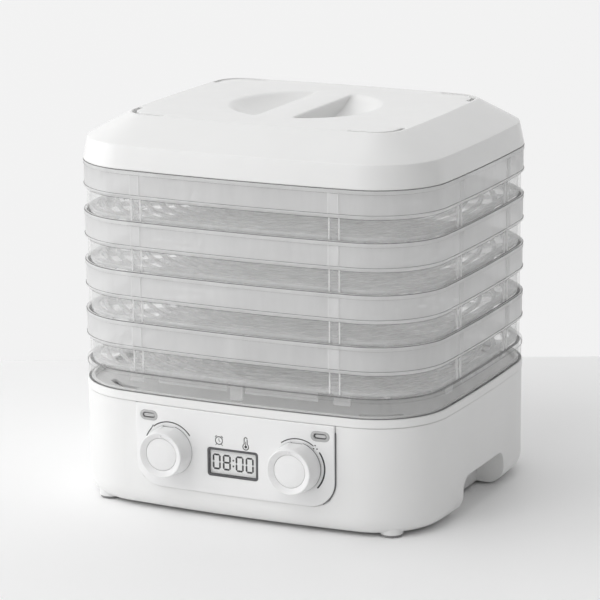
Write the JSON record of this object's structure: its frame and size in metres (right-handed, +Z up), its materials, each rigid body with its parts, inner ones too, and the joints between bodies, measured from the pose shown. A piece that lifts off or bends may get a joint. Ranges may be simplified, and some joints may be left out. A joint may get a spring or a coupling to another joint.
{
  "type": "food dehydrator",
  "caption": "Stacking food dehydrator: fan and heater base with dial controls and a small display, a clear ring, stacked clear trays with ring-grid floors, and a vented lid.",
  "frame": {"origin": "on the floor plane, at the middle of the bounding box in plan", "axes": "+Z up, -Y towards the control panel, +X to the right seen from the front"},
  "size_m": [0.28, 0.2592, 0.2785],
  "materials": {
    "lid_white": "smooth moulded satin",
    "tray_clear": "clear, frosted on the upper band",
    "base_white": "smooth satin",
    "deck_white": "smooth satin",
    "cover_white": "fine texture",
    "panel_white": "smooth satin with fine printed marks",
    "dark_trim": "smooth",
    "lens_clear": "polished",
    "lcd_grey": "satin",
    "holder_black": "moulded",
    "knob_white": "smooth satin",
    "knob_cap": "smooth",
    "steel": "turned",
    "zinc": "plated",
    "button_grey": "satin",
    "bezel_grey": "satin",
    "board_green": "solder mask",
    "filter_grey": "fine mesh",
    "steel_sheet": "galvanised",
    "motor_steel": "pressed",
    "fan_black": "moulded",
    "brass_nut": "turned",
    "duct_plastic": "heat resistant moulded",
    "mica": "layered",
    "heater_wire": "drawn, heat tinted",
    "aluminium_sheet": "rolled",
    "ceramic_white": "fired",
    "transformer_core": "varnished",
    "gland_grey": "moulded",
    "foot_rubber": "matte",
    "screw_zinc": "zinc plated"
  },
  "bodies": {
    "base": {"air_duct": "duct_plastic", "air_thermistor": "holder_black", "base_deck": "deck_white", "base_housing": "base_white", "base_screws": "screw_zinc", "board_screws": "screw_zinc", "bottom_cover": "cover_white", "control_board": "board_green", "control_panel": "panel_white", "cord_gland": "gland_grey", "deck_plate": "deck_white", "display_bezel": "dark_trim", "display_lens": "lens_clear", "fan_motor": "motor_steel", "heater_clips": "steel_sheet", "heater_coils": "heater_wire", "heater_frame": "mica", "heater_shield": "aluminium_sheet", "intake_filter": "filter_grey", "lcd_holder": "holder_black", "lcd_panel": "lcd_grey", "mode_button_bezel": "bezel_grey", "motor_bracket": "steel_sheet", "motor_screws": "screw_zinc", "power_board": "board_green", "power_board_screws": "screw_zinc", "power_transformer": "transformer_core", "rubber_feet": "foot_rubber", "start_button_bezel": "bezel_grey", "tact_switches": "holder_black", "temperature_potentiometer": "zinc", "thermal_cutout": "ceramic_white", "timer_potentiometer": "zinc"},
    "spacer_ring": {"spacer_ring": "tray_clear"},
    "tray_4": {"tray_4_wall": "tray_clear", "tray_4_grid": "tray_clear"},
    "tray_3": {"tray_3_wall": "tray_clear", "tray_3_grid": "tray_clear"},
    "tray_2": {"tray_2_wall": "tray_clear", "tray_2_grid": "tray_clear"},
    "tray_1": {"tray_1_wall": "tray_clear", "tray_1_grid": "tray_clear"},
    "lid": {"lid": "lid_white", "lid_top": "lid_white"},
    "timer_knob": {"timer_knob": "knob_white", "timer_knob_cap": "knob_cap", "timer_shaft": "steel"},
    "temperature_knob": {"temperature_knob": "knob_white", "temperature_knob_cap": "knob_cap", "temperature_shaft": "steel"},
    "start_button": {"start_button": "button_grey"},
    "mode_button": {"mode_button": "button_grey"},
    "fan": {"fan_impeller": "fan_black", "fan_nut": "brass_nut", "motor_shaft": "steel"}
  },
  "joints": [
    {"name": "spacer_ring_lift", "type": "slide", "parent": "base", "child": "spacer_ring", "axis": [0, 0, 1], "range_m": [0, 0.06]},
    {"name": "tray_4_lift", "type": "slide", "parent": "spacer_ring", "child": "tray_4", "axis": [0, 0, 1], "range_m": [0, 0.06]},
    {"name": "tray_3_lift", "type": "slide", "parent": "tray_4", "child": "tray_3", "axis": [0, 0, 1], "range_m": [0, 0.06]},
    {"name": "tray_2_lift", "type": "slide", "parent": "tray_3", "child": "tray_2", "axis": [0, 0, 1], "range_m": [0, 0.06]},
    {"name": "tray_1_lift", "type": "slide", "parent": "tray_2", "child": "tray_1", "axis": [0, 0, 1], "range_m": [0, 0.06]},
    {"name": "lid_lift", "type": "slide", "parent": "tray_1", "child": "lid", "axis": [0, 0, 1], "range_m": [0, 0.06]},
    {"name": "timer_turn", "type": "hinge", "parent": "base", "child": "timer_knob", "pos_m": [-0.0497, -0.12, 0.0483], "axis": [0, -1, 0], "range_deg": [-135, 135]},
    {"name": "temperature_turn", "type": "hinge", "parent": "base", "child": "temperature_knob", "pos_m": [0.0497, -0.12, 0.0483], "axis": [0, -1, 0], "range_deg": [-135, 135]},
    {"name": "start_press", "type": "slide", "parent": "base", "child": "start_button", "axis": [0, 1, 0], "range_m": [0, 0.0008], "stiffness_N_per_m": 400, "springref_m": -0.001},
    {"name": "mode_press", "type": "slide", "parent": "base", "child": "mode_button", "axis": [0, 1, 0], "range_m": [0, 0.0008], "stiffness_N_per_m": 400, "springref_m": -0.001},
    {"name": "fan_spin", "type": "hinge", "parent": "base", "child": "fan", "pos_m": [0, 0.00728, 0.05], "axis": [0, 0, 1], "continuous": true}
  ]
}
